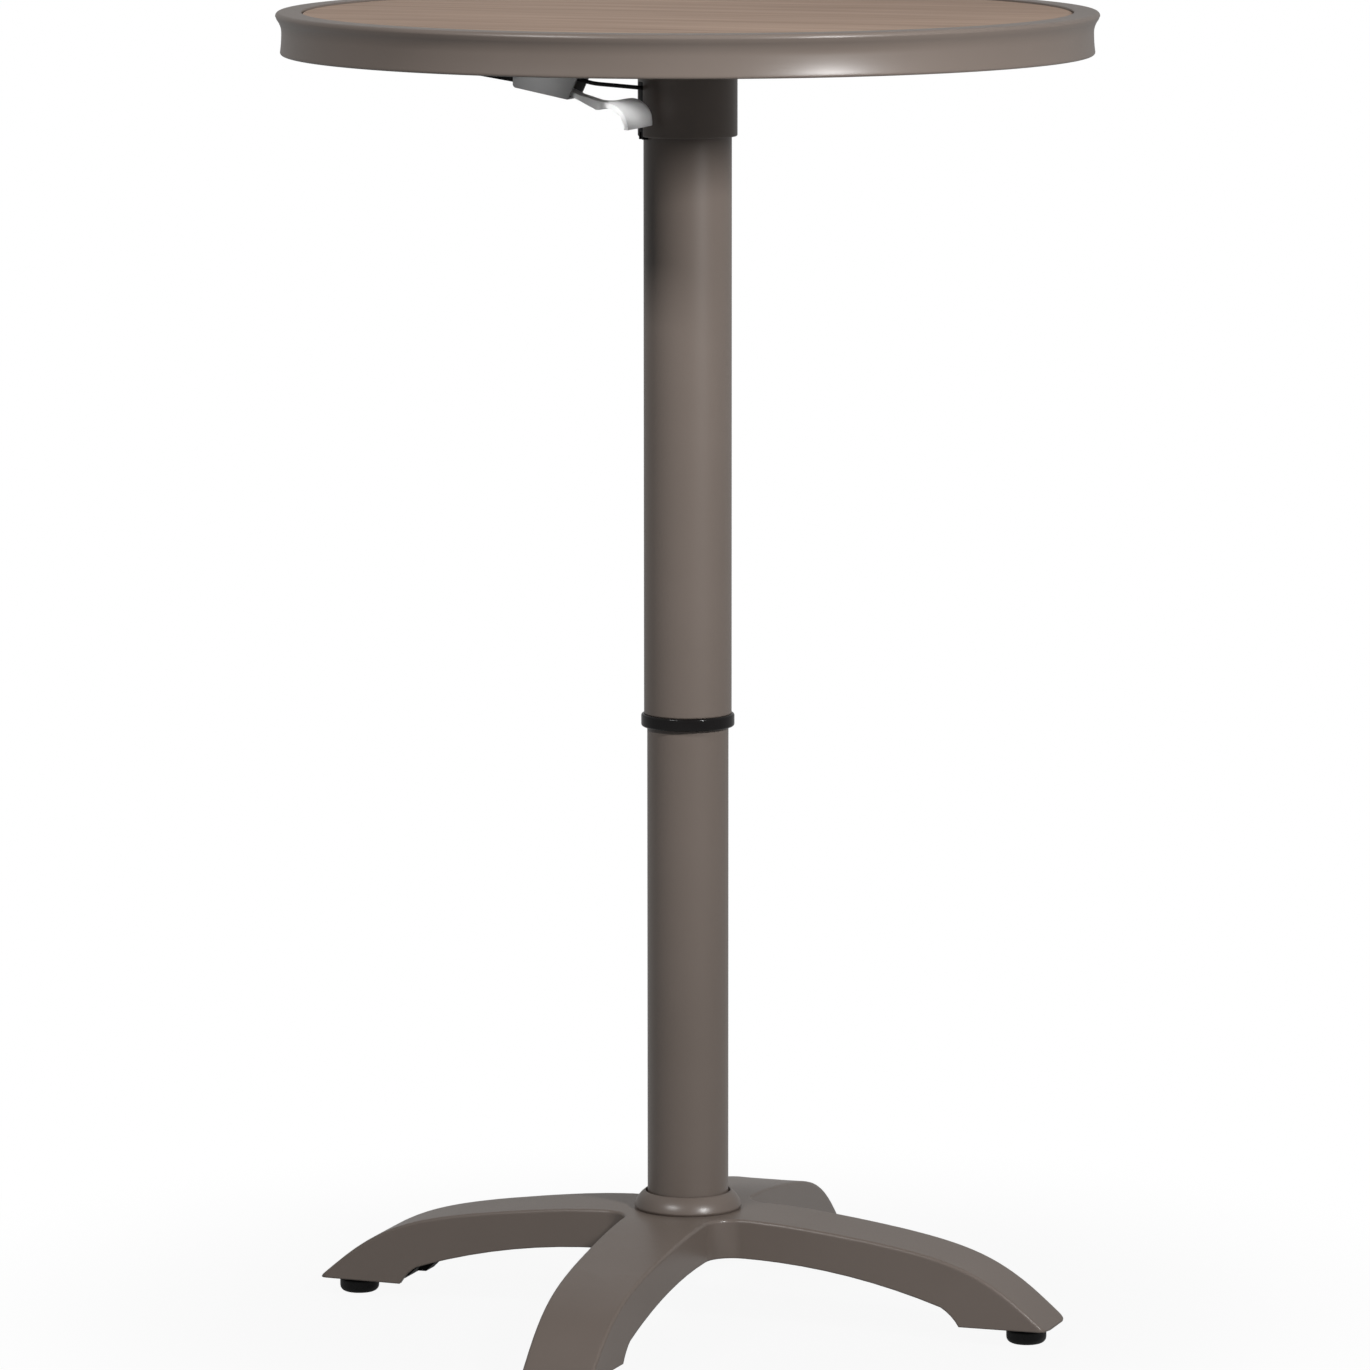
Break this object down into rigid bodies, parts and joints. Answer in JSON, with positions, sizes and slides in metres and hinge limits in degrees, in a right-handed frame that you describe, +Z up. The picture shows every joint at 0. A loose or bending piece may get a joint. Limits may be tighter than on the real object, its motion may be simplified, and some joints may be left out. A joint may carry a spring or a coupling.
{
  "type": "height-adjustable bar table",
  "caption": "Round bar table on a telescopic column with a gas spring, hand lever under the top, arched cast legs and levelling feet.",
  "frame": {"origin": "on the floor under the column's axis", "axes": "+Z up the column, legs along X and Y, hand lever on the -Y side pointing along +X"},
  "size_m": [0.65, 0.65, 1.052],
  "materials": {
    "powder_coat": "taupe powder coat, satin, fine grain",
    "wood_board": "brown-grey wood with fine straight grain, matt",
    "black_plastic": "black moulded plastic",
    "foot_plastic": "black moulded foot",
    "grey_plastic": "mid grey moulded plastic",
    "silver_lever": "silver lacquer on die-cast metal",
    "zinc_steel": "bright zinc plating",
    "black_steel": "black coated steel",
    "hard_chrome": "ground and chromed",
    "cast_alloy": "as cast",
    "bare_aluminium": "mill finish",
    "brass_bush": "turned",
    "cable_rubber": "black cable sheath",
    "foam_strip": "black foam strip"
  },
  "bodies": {
    "base": {"base_casting": "powder_coat", "base_collar": "powder_coat", "lower_tube": "powder_coat", "tube_plug": "zinc_steel", "base_screws": "zinc_steel", "tube_top_bush": "black_plastic", "thrust_washer": "zinc_steel", "foot_inserts": "brass_bush", "foot_plug_1": "black_plastic", "foot_plug_2": "black_plastic", "foot_plug_3": "black_plastic", "foot_plug_4": "black_plastic"},
    "gas_spring": {"gas_spring_cylinder": "black_steel", "cylinder_gland": "zinc_steel", "cylinder_nut": "zinc_steel"},
    "top": {"upper_tube": "powder_coat", "column_head": "powder_coat", "rim_frame": "powder_coat", "top_panel": "wood_board", "guide_ring": "black_plastic", "slot_grommet": "black_plastic", "lever_base": "black_plastic", "lever_cover": "grey_plastic", "tube_set_screws": "zinc_steel", "release_head_screws": "zinc_steel", "arm_pin": "zinc_steel", "plate_screws": "zinc_steel", "head_screws": "zinc_steel", "panel_screws": "zinc_steel", "lever_base_screws": "zinc_steel", "lever_pin": "zinc_steel", "cable_wire": "zinc_steel", "cable_ferrules": "zinc_steel", "mounting_plate": "black_steel", "piston_rod": "hard_chrome", "release_head": "cast_alloy", "crossbar_front": "bare_aluminium", "crossbar_back": "bare_aluminium", "piston": "bare_aluminium", "cable_sheath": "cable_rubber", "bar_strips": "foam_strip"},
    "lever": {"release_lever": "silver_lever", "lever_nipple": "zinc_steel"},
    "crank": {"release_arm": "zinc_steel", "arm_nipple": "zinc_steel"},
    "valve_pin": {"release_pin": "zinc_steel"},
    "foot_1": {"foot_pad_1": "foot_plastic", "foot_stud_1": "zinc_steel"},
    "foot_2": {"foot_pad_2": "foot_plastic", "foot_stud_2": "zinc_steel"},
    "foot_3": {"foot_pad_3": "foot_plastic", "foot_stud_3": "zinc_steel"},
    "foot_4": {"foot_pad_4": "foot_plastic", "foot_stud_4": "zinc_steel"}
  },
  "joints": [
    {"name": "top_swivel", "type": "hinge", "parent": "base", "child": "gas_spring", "pos_m": [0, 0, 0], "axis": [0, 0, 1], "continuous": true},
    {"name": "height", "type": "slide", "parent": "gas_spring", "child": "top", "axis": [0, 0, 1], "range_m": [-0.33, 0]},
    {"name": "lever_pull", "type": "hinge", "parent": "top", "child": "lever", "pos_m": [-0.092, -0.072, 1.0012], "axis": [0, -1, 0], "range_deg": [0, 14], "stiffness_Nm_per_rad": 2, "springref_deg": -8.59},
    {"name": "crank_press", "type": "hinge", "parent": "top", "child": "crank", "pos_m": [-0.00709, -0.00554, 1.002], "axis": [-0.6157, 0.788, 0], "range_deg": [0, 8.2]},
    {"name": "valve_press", "type": "slide", "parent": "top", "child": "valve_pin", "axis": [0, 0, -1], "range_m": [0, 0.0013]},
    {"name": "foot_1_level", "type": "slide", "parent": "base", "child": "foot_1", "axis": [0, 0, -1], "range_m": [-0.0025, 0.005]},
    {"name": "foot_2_level", "type": "slide", "parent": "base", "child": "foot_2", "axis": [0, 0, -1], "range_m": [-0.0025, 0.005]},
    {"name": "foot_3_level", "type": "slide", "parent": "base", "child": "foot_3", "axis": [0, 0, -1], "range_m": [-0.0025, 0.005]},
    {"name": "foot_4_level", "type": "slide", "parent": "base", "child": "foot_4", "axis": [0, 0, -1], "range_m": [-0.0025, 0.005]}
  ],
  "couplings": [
    {"joint": "crank_press", "follows": "lever_pull", "ratio": 0.58},
    {"joint": "valve_press", "follows": "lever_pull", "m_per_rad": 0.0052}
  ]
}
